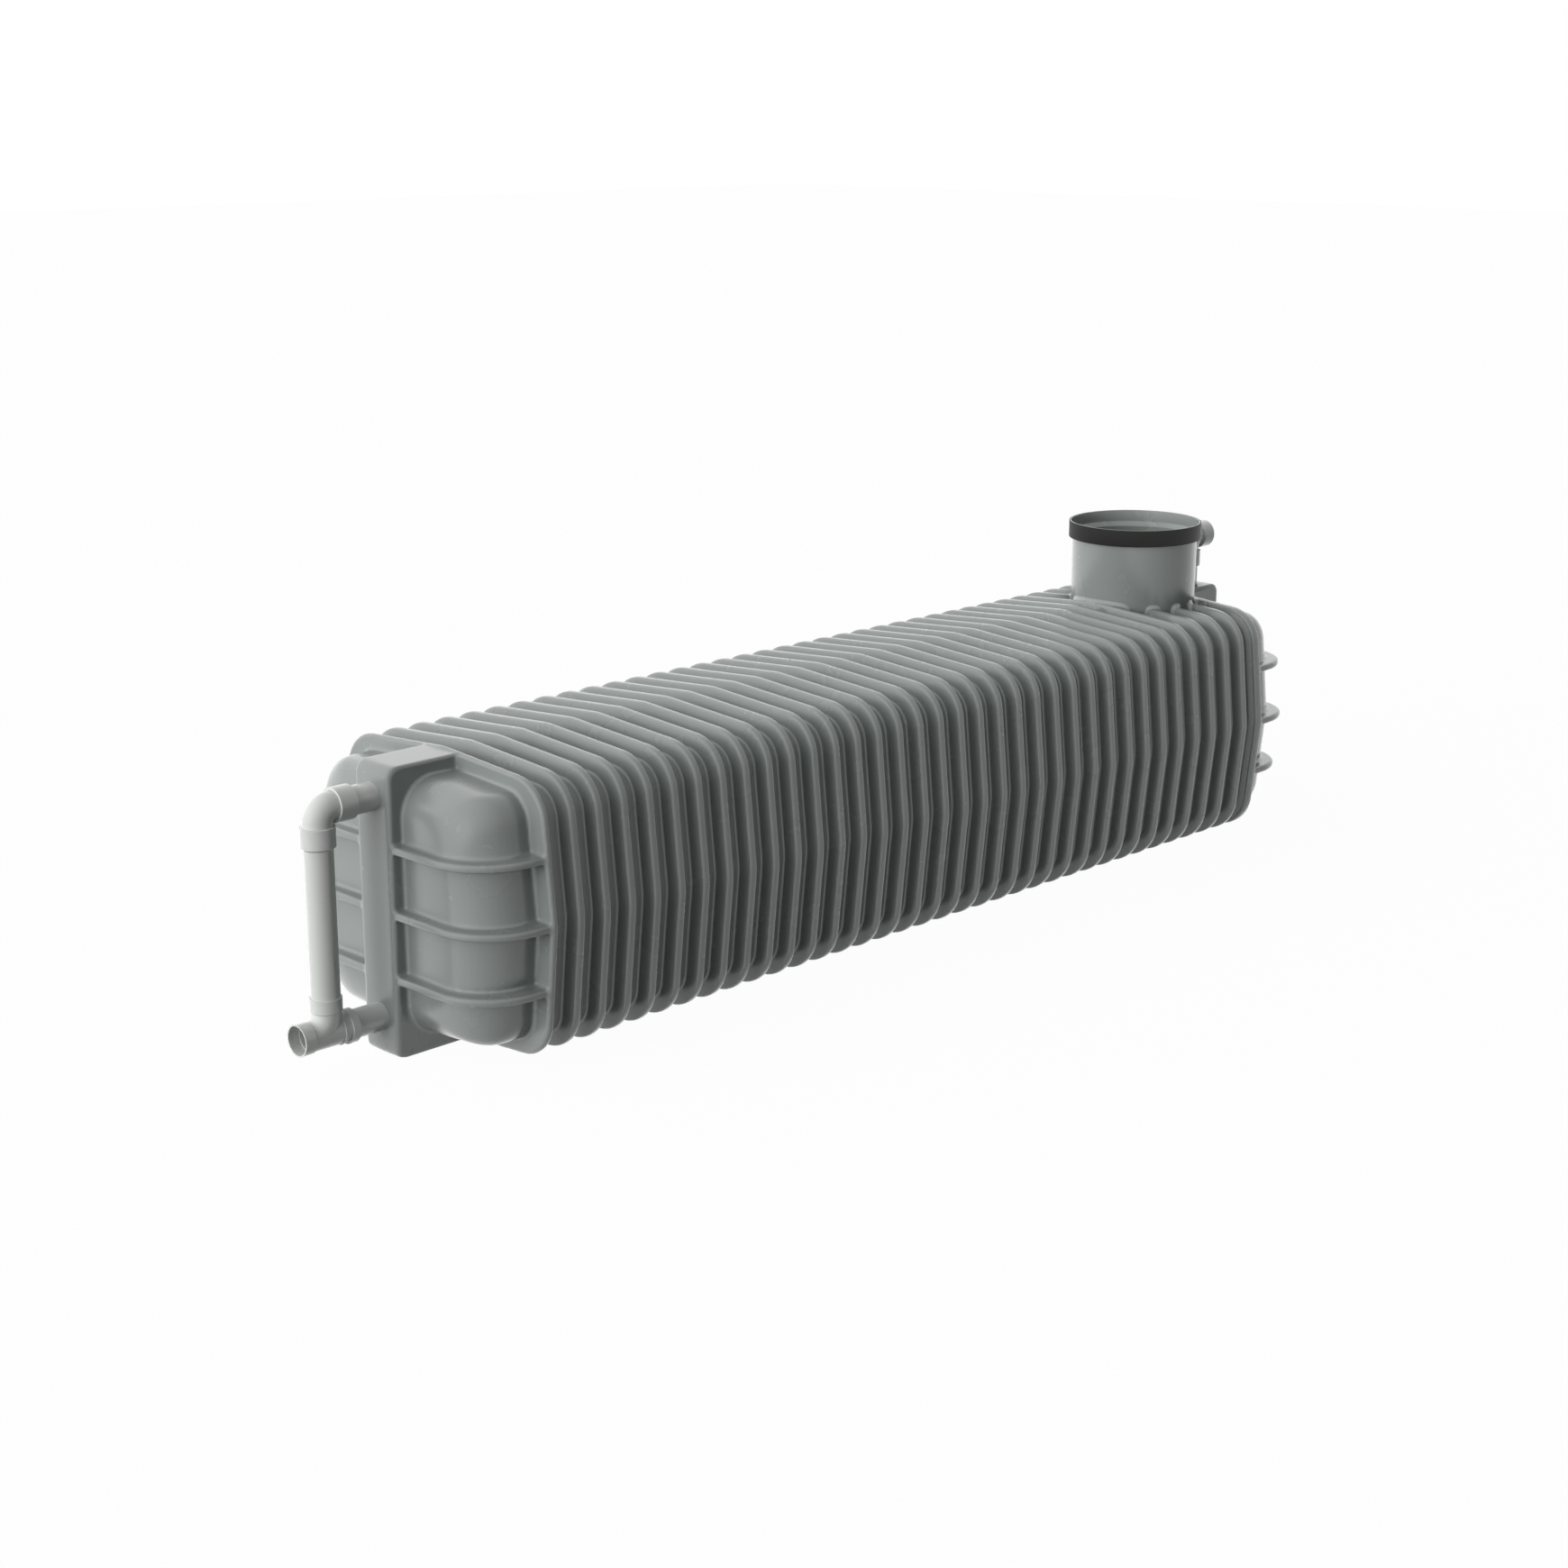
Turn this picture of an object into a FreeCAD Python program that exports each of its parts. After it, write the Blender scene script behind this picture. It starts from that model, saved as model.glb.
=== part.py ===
import FreeCAD, Part
import math
import os

from FreeCAD import Placement, Rotation, Vector

# Underground water tank: a long ribbed hull with a pillow-shaped head at each end, an open access neck,
# and grey drain pipework. Millimetres. X runs along the hull, Z is up, and the ground is at Z = 0.

# Hull, across
hull_height = 1129.0
waist_width = 1265.0
eaves_width = 1156.0
eaves_drop = 40.5
corner_radius = 170.0
corner_facets = 3
wall = 8.0

# Ribs, along the hull
rib_count = 36
rib_pitch = 125.0
crest_width = 31.0
valley_width = 66.0
rib_depth = 58.0
far_flange_width = 50.0
hollow_corner_facets = 2

# Heads, measured outwards from the flange face at each end
near_head_depth = 321.0
far_head_depth = 347.0
head_root = 20.0

# Spine: the upright box column in the middle of a head
spine_width = 200.0
spine_crown = 5.0
spine_edge_radius = 17.0
spine_top_radius = 47.0
spine_foot_radius = 34.0
spine_top_drop = 10.0

# Shelf ribs: flat plates that run round a head
shelf_count = 3
shelf_pitch = 251.0
shelf_middle_drop = 5.5
shelf_thickness = 32.0
shelf_setback = 11.0
shelf_corner_radius = 256.0
shelf_edge_step = 12.5

# Cushion: the pillow between the shelf ribs
cushion_setback = 65.0
cushion_side_step = 82.0
cushion_corner_radius = 195.0
cushion_top_step = 60.0
cushion_top_radius = 146.0
cushion_frame_radius = 120.0
cushion_front_radius = 190.0
cushion_facets = 4

# Access neck
neck_from_far_face = 221.0
neck_outer_diameter = 590.0
neck_wall = 8.0
neck_rise = 355.0
neck_collar_step = 13.5
neck_collar_wall = 5.0
neck_collar_height = 74.0
neck_collar_slope = 20.0
neck_root_drop = 129.0
sealing_ring_height = 77.0
sealing_ring_thickness = 4.0

# Pipework
pipe_diameter = 110.0
pipe_wall = 3.2
fit_clearance = 0.3
bell_diameter = 131.0
bell_length = 74.0
bell_taper = 9.0
bell_mouth_lip = 4.0
bell_guide_depth = 14.0
seal_chamber_width = 12.0
bend_radius = 56.5
rim_from_bend = 9.5

upper_port_drop = 130.0
lower_port_height = 151.0
upper_stub_reach = 170.0
lower_stub_reach = 160.0
stub_tail = 60.0
short_bell_length = 30.0

grommet_wall = 7.0
grommet_lip_width = 8.0
grommet_lip_thickness = 4.0

tee_socket_diameter = 121.0
tee_body_diameter = 113.0
tee_sweep_radius = 82.0
tee_socket_step = 4.0
tee_top_socket_depth = 50.0
tee_run_socket_depth = 47.0
tee_bead_width = 6.0
tee_bead_to_rim = 27.0

inlet_riser_from_far_face = 205.0
inlet_bend_drop = 128.0
inlet_riser_tail = 70.0
inlet_coupler_length = 65.0
coupler_stop_width = 5.0

# Places that follow from the sizes above
hull_length = (rib_count - 1) * rib_pitch + crest_width
rib_flank = (rib_pitch - crest_width - valley_width) / 2
middle = hull_height / 2
eaves_height = hull_height - 2 * eaves_drop
shelf_middle_height = middle - shelf_middle_drop
neck_top_height = hull_height + neck_rise
neck_root_height = hull_height - neck_root_drop
upper_port_height = hull_height - upper_port_drop
inlet_bend_height = neck_top_height - inlet_bend_drop
pipe_radius = pipe_diameter / 2
pipe_bore = pipe_radius - pipe_wall
guide_bore = pipe_radius + fit_clearance
bell_radius = bell_diameter / 2
chamber_bore = bell_radius - pipe_wall
tee_radius = tee_body_diameter / 2
tee_socket_radius = tee_socket_diameter / 2


def line_offset(first, second, inset):
    """Two points of a straight side moved inwards, for an outline that runs clockwise seen along +X."""
    along = math.hypot(second[0] - first[0], second[1] - first[1])
    inward = ((second[1] - first[1]) / along * inset, -(second[0] - first[0]) / along * inset)
    moved = [(point[0] + inward[0], point[1] + inward[1]) for point in (first, second)]
    return moved


def crossing(first, second):
    """The point where two straight sides meet."""
    (ax, ay), (bx, by) = first
    (cx, cy), (dx, dy) = second
    turn = (bx - ax) * (dy - cy) - (by - ay) * (dx - cx)
    share = ((cx - ax) * (dy - cy) - (cy - ay) * (dx - cx)) / turn
    return (ax + share * (bx - ax), ay + share * (by - ay))


def upper_right(top, side):
    """Ridge, eaves and waist corners of the hull's upper right quarter, moved inwards by top and side."""
    ridge = (0.0, middle)
    eaves = (eaves_width / 2, eaves_height / 2)
    waist = (waist_width / 2, 0.0)
    roof = line_offset(ridge, eaves, top)
    flank = line_offset(eaves, waist, side)
    at_ridge = crossing(roof, ((0.0, 0.0), (0.0, middle)))
    at_waist = crossing(flank, ((0.0, 0.0), (waist_width, 0.0)))
    return at_ridge, crossing(roof, flank), at_waist


def corner_arc(before, corner, after, radius):
    """Centre of a rounded corner, and the angles at which its arc starts and ends."""
    into = math.atan2(corner[1] - before[1], corner[0] - before[0])
    out = math.atan2(after[1] - corner[1], after[0] - corner[0])
    turn = into - out
    back = radius * math.tan(turn / 2)
    start = (corner[0] - back * math.cos(into), corner[1] - back * math.sin(into))
    centre = (start[0] + radius * math.sin(into), start[1] - radius * math.cos(into))
    return centre, into + math.pi / 2, out + math.pi / 2


def outline(top, side, radius, facets):
    """The hull's closed outline moved inwards, as (y, z) points, with its eaves rounded in flat facets."""
    ridge, eaves, waist = upper_right(top, side)
    centre, start, end = corner_arc(ridge, eaves, waist, radius)
    steps = [start + (end - start) * k / facets for k in range(facets + 1)]
    arc = [(centre[0] + radius * math.cos(a), centre[1] + radius * math.sin(a)) for a in steps]
    upper = arc + [waist]
    lower = [(y, -z) for y, z in reversed(arc)]
    right = upper + lower
    left = [(-y, z) for y, z in reversed(right)]
    return [ridge] + right + [(0.0, -ridge[1])] + left


def even(x, inset):
    """A station whose outline is the hull's own, moved inwards by the same amount all round."""
    return x, inset, inset, corner_radius - inset


def half_width_at(height):
    """Half the hull's width at a height above the ground, on its sloping side."""
    share = abs(height - middle) / (eaves_height / 2)
    return (waist_width + (eaves_width - waist_width) * share) / 2


def solid_through(stations, facets):
    """A closed solid of flat faces through outlines at (x, top, side, corner radius) stations."""
    rings = []
    for x, top, side, radius in stations:
        rings.append([Vector(x, y, z + middle) for y, z in outline(top, side, radius, facets)])
    faces = []
    for ring in (rings[0], rings[-1]):
        faces.append(Part.Face(Part.makePolygon(ring + ring[:1])))
    for near, far in zip(rings, rings[1:]):
        for k in range(len(near)):
            j = (k + 1) % len(near)
            faces.append(Part.Face(Part.makePolygon([near[k], near[j], far[j], far[k], near[k]])))
    shell = Part.makeShell(faces)
    shell.sewShape()
    solid = Part.makeSolid(shell)
    if solid.Volume < 0:
        solid.reverse()
    return solid


def crests():
    """Start and end of each rib's crest along the hull. The last one is the wider far flange."""
    bands = [(i * rib_pitch, i * rib_pitch + crest_width) for i in range(rib_count)]
    bands[-1] = (hull_length - far_flange_width, hull_length)
    return bands


def ribbed_hull():
    """The outside of the hull: crests, sloping flanks and valley floors in turn."""
    stations = []
    for start, end in crests():
        if stations:
            stations.append(even(start - rib_flank, rib_depth))
        stations.append(even(start, 0.0))
        stations.append(even(end, 0.0))
        if end < hull_length:
            stations.append(even(end + rib_flank, rib_depth))
    return solid_through(stations, corner_facets)


def ribbed_hollow():
    """The inside of the hull: a plain bore with a groove that narrows to an edge inside each rib."""
    floor = rib_depth + wall
    stations = []
    for start, end in crests():
        centre = (start + end) / 2
        base = (end - start) / 2 + rib_flank - wall
        if start > 0:
            stations.append(even(centre - base, floor))
        else:
            stations.append(even(wall, floor))
        stations.append(even(centre, wall))
        if end < hull_length:
            stations.append(even(centre + base, floor))
        else:
            stations.append(even(hull_length - wall, floor))
    return solid_through(stations, hollow_corner_facets)


def prism(points, direction):
    """A closed outline of lines and arcs, pushed along a direction. An arc is given as (end, by way of)."""
    edges = []
    here = points[0]
    for point in points[1:]:
        if isinstance(point, tuple):
            edges.append(Part.Arc(here, point[1], point[0]).toShape())
            here = point[0]
        else:
            edges.append(Part.makeLine(here, point))
            here = point
    edges.append(Part.makeLine(here, points[0]))
    return Part.Face(Part.Wire(edges)).extrude(direction)


def quarter_turn(centre, radius, first, second):
    """The middle point of a quarter arc between two directions."""
    return centre + (first + second) * (radius * math.sqrt(0.5))


def shelf_rib(depth, height, inset):
    """A flat plate round the head. Its outline follows the spine's front, a big arc and the hull's side."""
    front = depth - shelf_setback - inset
    reach = half_width_at(height) - shelf_edge_step - inset
    radius = shelf_corner_radius - inset
    low = height - shelf_thickness / 2 + inset
    centre = Vector(front - radius, reach - radius, low)
    out, side = Vector(1, 0, 0), Vector(0, 1, 0)
    corner = (centre + out * radius, quarter_turn(centre, radius, out, side))
    plate = [Vector(-head_root, 0, low), Vector(-head_root, reach, low), centre + side * radius]
    plate.append(corner)
    plate.append(Vector(front, 0, low))
    half = prism(plate, Vector(0, 0, shelf_thickness - 2 * inset))
    return half.fuse(mirrored(half, Vector(0, 1, 0)))


def mirrored(shape, normal):
    """A shape and its place mirrored across the plane through the hull's middle line."""
    copy = shape.copy()
    return copy.mirror(Vector(0, 0, middle), normal)


def come_in(radius, from_front):
    """How far a quarter arc has turned inwards at a distance behind the front."""
    if from_front >= radius:
        return 0.0
    return radius - math.sqrt(radius ** 2 - (radius - from_front) ** 2)


def cushion(depth, inset):
    """The pillow: outlines that shrink along an arc, sooner at the sides than at the top.

    Its corners soften towards the front."""
    facets = cushion_facets if inset == 0 else hollow_corner_facets
    front = depth - cushion_setback - inset
    side_radius, top_radius = cushion_corner_radius - inset, cushion_top_radius - inset
    softer = (cushion_front_radius - cushion_frame_radius) / cushion_top_radius
    places = [-head_root]
    for k in range(facets + 1):
        places.append(front - side_radius * (1 - math.sin(math.pi / 2 * k / facets)))
    stations = []
    for x in places:
        top = come_in(top_radius, front - x)
        side = come_in(side_radius, front - x)
        corner = cushion_frame_radius - inset + softer * top
        stations.append((x, cushion_top_step + inset + top, cushion_side_step + inset + side, corner))
    return solid_through(stations, facets)


def spine(depth, inset):
    """The upright column: a round-edged plan crossed with a side view that has round front corners.

    Its front is crowned outside and flat inside, so that the grommets seat on a flat."""
    half = spine_width / 2 - inset
    shoulder = depth - spine_crown - inset
    front = depth if inset == 0 else shoulder
    radius = spine_edge_radius - inset
    low, high = inset, hull_height - spine_top_drop - inset
    turn = radius * math.sqrt(0.5)
    plan = [
        Vector(-head_root, -half, low),
        Vector(shoulder - radius, -half, low),
        (Vector(shoulder, radius - half, low), Vector(shoulder - radius + turn, radius - turn - half, low)),
        (Vector(shoulder, half - radius, low), Vector(front, 0, low)) if inset == 0
        else Vector(shoulder, half - radius, low),
        (Vector(shoulder - radius, half, low), Vector(shoulder - radius + turn, half - radius + turn, low)),
        Vector(-head_root, half, low),
    ]
    column = prism(plan, Vector(0, 0, high - low))
    top, foot = spine_top_radius - inset, spine_foot_radius - inset
    out, up = Vector(1, 0, 0), Vector(0, 0, 1)
    top_centre = Vector(front - top, -half, high - top)
    foot_centre = Vector(front - foot, -half, low + foot)
    side_view = [
        Vector(-head_root, -half, high),
        Vector(front - top, -half, high),
        (Vector(front, -half, high - top), quarter_turn(top_centre, top, out, up)),
        Vector(front, -half, low + foot),
        (Vector(front - foot, -half, low), quarter_turn(foot_centre, foot, out, up * -1)),
        Vector(-head_root, -half, low),
    ]
    return column.common(prism(side_view, Vector(0, 2 * half, 0)))


def head(depth, inset):
    """One whole head, pointing along +X from the flange face at X = 0."""
    body = cushion(depth, inset).fuse(spine(depth, inset))
    for k in range(shelf_count):
        height = shelf_middle_height + (k - (shelf_count - 1) / 2) * shelf_pitch
        body = body.fuse(shelf_rib(depth, height, inset))
    return body


def both_heads(inset):
    """The near head, turned to point along -X, and the far head."""
    near = head(near_head_depth, inset).mirror(Vector(0, 0, 0), Vector(1, 0, 0))
    far = head(far_head_depth, inset)
    far.translate(Vector(hull_length, 0, 0))
    return [near, far]


def turned(profile, base, axis):
    """A solid of revolution. The profile is (distance along the axis, radius) points."""
    corners = [Vector(radius, 0, along) for along, radius in profile]
    face = Part.Face(Part.makePolygon(corners + corners[:1]))
    solid = face.revolve(Vector(0, 0, 0), Vector(0, 0, 1), 360)
    solid.Placement = Placement(base, Rotation(Vector(0, 0, 1), axis))
    return solid


def tank_body():
    """The moulded tank in one piece, hollow, open at the neck and drilled for three pipes."""
    neck_x = hull_length - neck_from_far_face
    neck_radius = neck_outer_diameter / 2
    slope = neck_top_height - neck_collar_height
    wide = neck_radius + neck_collar_step
    neck = [
        (neck_root_height, 0.0),
        (neck_root_height, neck_radius),
        (slope, neck_radius),
        (slope + neck_collar_slope, wide),
        (neck_top_height, wide),
        (neck_top_height, 0.0),
    ]
    passage = [
        (neck_root_height - wall, 0.0),
        (neck_root_height - wall, neck_radius - neck_wall),
        (slope, neck_radius - neck_wall),
        (slope + neck_collar_slope, wide - neck_collar_wall),
        (neck_top_height + wall, wide - neck_collar_wall),
        (neck_top_height + wall, 0.0),
    ]
    outside = ribbed_hull()
    neck_base = Vector(neck_x, 0, 0)
    outside = outside.fuse(both_heads(0.0) + [turned(neck, neck_base, Vector(0, 0, 1))])
    hollow = ribbed_hollow().fuse(both_heads(wall) + [turned(passage, neck_base, Vector(0, 0, 1))])
    body = outside.cut(hollow)
    hole = pipe_radius + grommet_wall
    for base, axis in ports():
        body = body.cut(Part.makeCylinder(hole, 4 * wall, base - axis * (2 * wall), axis))
    return body.removeSplitter()


def ports():
    """Where each pipe leaves the tank's skin, and the way it leaves."""
    front = -near_head_depth
    riser_x = hull_length + inlet_riser_from_far_face
    top = hull_height - spine_top_drop
    return [
        (Vector(front, 0, upper_port_height), Vector(-1, 0, 0)),
        (Vector(front, 0, lower_port_height), Vector(-1, 0, 0)),
        (Vector(riser_x, 0, top), Vector(0, 0, 1)),
    ]


def neck_sealing_ring():
    """The black ring round the neck's collar."""
    inner = neck_outer_diameter / 2 + neck_collar_step + fit_clearance
    high = neck_top_height - fit_clearance
    low = high - sealing_ring_height
    outer = inner + sealing_ring_thickness
    profile = [(low, inner), (low, outer), (high, outer), (high, inner)]
    return turned(profile, Vector(hull_length - neck_from_far_face, 0, 0), Vector(0, 0, 1))


def belled_pipe(base, axis, length, bell, tail):
    """A pipe with a socket at its outer end: the mouth lip, the seal's chamber, the guide and the stop."""
    lip = length - bell_mouth_lip
    chamber = lip - seal_chamber_width
    guide = length - bell - bell_taper
    profile = [
        (-tail, pipe_bore),
        (-tail, pipe_radius),
        (length - bell - bell_taper, pipe_radius),
        (length - bell, bell_radius),
        (length, bell_radius),
        (length, guide_bore + fit_clearance),
        (lip, guide_bore + fit_clearance),
        (lip, chamber_bore),
        (chamber, chamber_bore),
        (chamber, guide_bore),
        (guide + pipe_wall, guide_bore),
        (guide, pipe_bore),
    ]
    return turned(profile, base, axis)


def lip_seal(mouth, axis):
    """The rubber ring in a socket's chamber. The mouth is the socket's rim."""
    low = -bell_mouth_lip - seal_chamber_width + fit_clearance
    high = -bell_mouth_lip - fit_clearance
    inner = guide_bore
    outer = chamber_bore - fit_clearance
    return turned([(low, inner), (low, outer), (high, outer), (high, inner)], mouth, axis)


def grommet(base, axis, through):
    """The rubber bush in a port: a sleeve through the wall and a lip behind it."""
    inner = guide_bore
    outer = pipe_radius + grommet_wall - fit_clearance
    lip = outer + grommet_lip_width
    back = -through - fit_clearance
    front = wall - through
    profile = [
        (back - grommet_lip_thickness, inner),
        (back - grommet_lip_thickness, lip),
        (back, lip),
        (back, outer),
        (front, outer),
        (front, inner),
    ]
    return turned(profile, base, axis)


def quarter_bend(start, heading, turn_to, bend, radius):
    """A quarter of a round bar bent at a radius. It starts on a heading and ends pointing along turn_to."""
    disc = Part.Face(Part.Wire(Part.makeCircle(radius, Vector(0, 0, 0), Vector(0, 0, 1))))
    bar = disc.revolve(Vector(bend, 0, 0), Vector(0, 1, 0), 90)
    bar.Placement = Placement(start, Rotation(turn_to, heading.cross(turn_to), heading, "ZXY"))
    return bar


def bent_bar(corner, arrive, leave, legs, radius):
    """A round bar with a quarter bend and two straight legs. The corner is where the legs' axes meet."""
    start = corner - arrive * bend_radius
    end = corner + leave * bend_radius
    bar = quarter_bend(start, arrive, leave, bend_radius, radius)
    first = Part.makeCylinder(radius, legs, start - arrive * legs, arrive)
    second = Part.makeCylinder(radius, legs, end, leave)
    return bar.fuse([first, second])


def bent_tube(corner, arrive, leave, legs):
    """A right-angled bend between two straight spigots."""
    outside = bent_bar(corner, arrive, leave, legs, pipe_radius)
    return outside.cut(bent_bar(corner, arrive, leave, legs, pipe_bore)).removeSplitter()


def swept_tee(joint_x):
    """The outlet tee: a run along X with an open socket, a swept branch and a socket for the drop pipe."""
    along, up = Vector(1, 0, 0), Vector(0, 0, 1)
    run_y = Vector(0, 0, lower_port_height)
    branch = Vector(joint_x, 0, lower_port_height + tee_sweep_radius)
    run_start = joint_x - tee_sweep_radius
    lower_rim = -near_head_depth - lower_stub_reach
    spigot_end = lower_rim + short_bell_length + bell_taper - pipe_wall - fit_clearance
    bead = lower_rim - tee_bead_to_rim - tee_bead_width
    mouth = run_start - tee_socket_step - tee_run_socket_depth
    run = turned([(mouth, 0.0), (mouth, tee_socket_radius), (run_start - tee_socket_step, tee_socket_radius),
                  (run_start, tee_radius), (bead, tee_radius), (bead, tee_socket_radius),
                  (bead + tee_bead_width, tee_socket_radius), (bead + tee_bead_width, pipe_radius),
                  (spigot_end, pipe_radius), (spigot_end, 0.0)], run_y, along)
    socket = turned([(0.0, 0.0), (0.0, tee_radius), (tee_socket_step, tee_socket_radius),
                     (tee_socket_step + tee_top_socket_depth, tee_socket_radius),
                     (tee_socket_step + tee_top_socket_depth, 0.0)], branch, up)
    outer = quarter_bend(branch, up * -1, along * -1, tee_sweep_radius, tee_radius)
    inner = quarter_bend(branch, up * -1, along * -1, tee_sweep_radius, pipe_bore)
    run_bore = turned([(mouth, 0.0), (mouth, guide_bore), (run_start - tee_socket_step, guide_bore),
                       (run_start - tee_socket_step, pipe_bore), (spigot_end, pipe_bore),
                       (spigot_end, 0.0)], run_y, along)
    socket_bore = turned([(0.0, 0.0), (0.0, pipe_bore), (tee_socket_step, pipe_bore),
                          (tee_socket_step, guide_bore),
                          (tee_socket_step + tee_top_socket_depth, guide_bore),
                          (tee_socket_step + tee_top_socket_depth, 0.0)], branch, up)
    body = run.fuse([outer, socket])
    return body.cut([run_bore, inner, socket_bore]).removeSplitter()


def inlet_coupler(rim):
    """The short socket on the inlet bend. Its other side is the mouth for the incoming pipe."""
    guide = bell_mouth_lip + seal_chamber_width + bell_guide_depth
    profile = [
        (0.0, guide_bore + fit_clearance),
        (0.0, bell_radius),
        (inlet_coupler_length, bell_radius),
        (inlet_coupler_length, guide_bore),
        (guide + coupler_stop_width, guide_bore),
        (guide + coupler_stop_width, pipe_bore),
        (guide, pipe_bore),
        (guide, guide_bore),
        (bell_mouth_lip + seal_chamber_width, guide_bore),
        (bell_mouth_lip + seal_chamber_width, chamber_bore),
        (bell_mouth_lip, chamber_bore),
        (bell_mouth_lip, guide_bore + fit_clearance),
    ]
    return turned(profile, rim, Vector(1, 0, 0))


def near_pipework():
    """The outlet side: two stubs, the bend, the drop pipe and the swept tee, with their rubber rings."""
    out, up = Vector(-1, 0, 0), Vector(0, 0, 1)
    upper, lower = ports()[0][0], ports()[1][0]
    upper_rim = upper + out * upper_stub_reach
    lower_rim = lower + out * lower_stub_reach
    corner = upper_rim + out * (bend_radius + rim_from_bend)
    drop_rim = corner - up * (bend_radius + rim_from_bend)
    tee_socket_floor = lower_port_height + tee_sweep_radius + tee_socket_step
    drop_length = drop_rim.z - tee_socket_floor - fit_clearance
    spigot = rim_from_bend + bell_mouth_lip + seal_chamber_width + bell_guide_depth - fit_clearance
    drop_base = drop_rim - up * drop_length
    return {
        "upper_stub_pipe": belled_pipe(upper, out, upper_stub_reach, bell_length, stub_tail),
        "upper_stub_grommet": grommet(upper, out, wall + spine_crown),
        "upper_stub_seal": lip_seal(upper_rim, out),
        "outlet_elbow": bent_tube(corner, out, up * -1, spigot),
        "drop_pipe": belled_pipe(drop_base, up, drop_length, bell_length, 0.0),
        "drop_pipe_seal": lip_seal(drop_rim, up),
        "swept_tee": swept_tee(corner.x),
        "lower_stub_pipe": belled_pipe(lower, out, lower_stub_reach, short_bell_length, stub_tail),
        "lower_stub_grommet": grommet(lower, out, wall + spine_crown),
        "lower_stub_seal": lip_seal(lower_rim, out),
    }


def far_pipework():
    """The inlet side: the riser out of the far spine, the bend and the coupler for the incoming pipe."""
    along, up = Vector(1, 0, 0), Vector(0, 0, 1)
    base = ports()[2][0]
    corner = Vector(base.x, 0, inlet_bend_height)
    rim = corner - up * (bend_radius + rim_from_bend)
    coupler_rim = corner + along * (bend_radius + rim_from_bend)
    spigot = rim_from_bend + bell_mouth_lip + seal_chamber_width + bell_guide_depth - fit_clearance
    riser = belled_pipe(base, up, rim.z - base.z, bell_length, inlet_riser_tail)
    return {
        "inlet_riser": riser,
        "inlet_riser_grommet": grommet(base, up, wall),
        "inlet_riser_seal": lip_seal(rim, up),
        "inlet_elbow": bent_tube(corner, up, along, spigot),
        "inlet_coupler": inlet_coupler(coupler_rim),
        "inlet_coupler_seal": lip_seal(coupler_rim, along * -1),
    }


def main():
    os.makedirs("parts", exist_ok=True)
    pieces = {"tank_body": tank_body(), "neck_sealing_ring": neck_sealing_ring()}
    pieces.update(near_pipework())
    pieces.update(far_pipework())
    box = FreeCAD.BoundBox()
    for shape in pieces.values():
        box.add(shape.BoundBox)
    for name, shape in pieces.items():
        shape.translate(Vector(-box.Center.x, 0, 0))
        shape.exportStep("parts/" + name + ".step")
        print(name, "solids", len(shape.Solids), "faces", len(shape.Faces), "valid", shape.isValid())


main()
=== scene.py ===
"""Underground water tank: finished pieces, materials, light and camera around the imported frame."""

import math

import bmesh
import bpy
import numpy as np
from bpy.props import FloatProperty, FloatVectorProperty, IntProperty, PointerProperty
from mathutils import Matrix, Vector


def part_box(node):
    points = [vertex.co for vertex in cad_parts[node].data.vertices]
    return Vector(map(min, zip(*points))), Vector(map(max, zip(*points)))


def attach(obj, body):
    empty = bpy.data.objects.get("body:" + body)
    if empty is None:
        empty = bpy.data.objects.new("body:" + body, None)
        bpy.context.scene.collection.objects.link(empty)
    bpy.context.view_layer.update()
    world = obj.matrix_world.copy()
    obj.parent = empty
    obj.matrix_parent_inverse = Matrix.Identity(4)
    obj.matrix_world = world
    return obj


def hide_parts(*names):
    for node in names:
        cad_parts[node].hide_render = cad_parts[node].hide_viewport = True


bl_info = {
    "name": "Underground Water Tank",
    "version": (1, 0, 0),
    "blender": (4, 5, 0),
    "location": "3D View > Sidebar > Water Tank",
    "description": "Builds the finished tank, its pipework, light and camera",
    "category": "Object",
}

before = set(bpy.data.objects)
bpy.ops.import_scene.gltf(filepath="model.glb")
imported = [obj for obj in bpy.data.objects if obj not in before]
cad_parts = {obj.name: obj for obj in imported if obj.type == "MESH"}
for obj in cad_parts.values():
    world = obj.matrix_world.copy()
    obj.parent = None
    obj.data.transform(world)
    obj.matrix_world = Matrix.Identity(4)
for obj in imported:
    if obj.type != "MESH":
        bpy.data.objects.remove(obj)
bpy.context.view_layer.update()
BODY_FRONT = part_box("tank_body")[0][0]  # where the near spine's front stands along the hull
PIPE_NODES = [
    "upper_stub_pipe", "outlet_elbow", "drop_pipe", "swept_tee", "lower_stub_pipe",
    "inlet_riser", "inlet_elbow", "inlet_coupler",
]
RUBBER_NODES = [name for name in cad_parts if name.endswith(("_seal", "_grommet"))]

# Metres that belong to the way the pieces are made
SKIN_LAP = 0.006  # how far the hull's skin reaches into each flange
LAP_SLOPE = 0.003  # how far inside the flange it starts to slope down to the first valley
FLANGE_LIP = 0.03  # how far a flange's faces reach in from its edge
LEAST_RADIUS = 0.02  # smallest rounding of an outline that was moved in
HAIR = 0.0001  # points nearer than this to a plane lie on it
BORE_DEPTH = 0.4  # height of the cutter for the neck's bore, a quarter of it below the neck's root
BORE_MARGIN = 0.0003  # a face this near to the bore belongs to it
BACK_MARGIN = 0.002  # a face this near to a head's back belongs to it
CROWN_RADIUS = 1.0  # rounding of the spine's bulged front
PILLOW_STEEPNESS = 0.002  # length along the roof on which it falls from the flange to the pillow
FILLET_TUCK = 0.0003  # how far the fillet's upper edge reaches into the neck's wall
FILLET_SINK = 0.0006  # how far the fillet lies under the roof where it runs out

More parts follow.
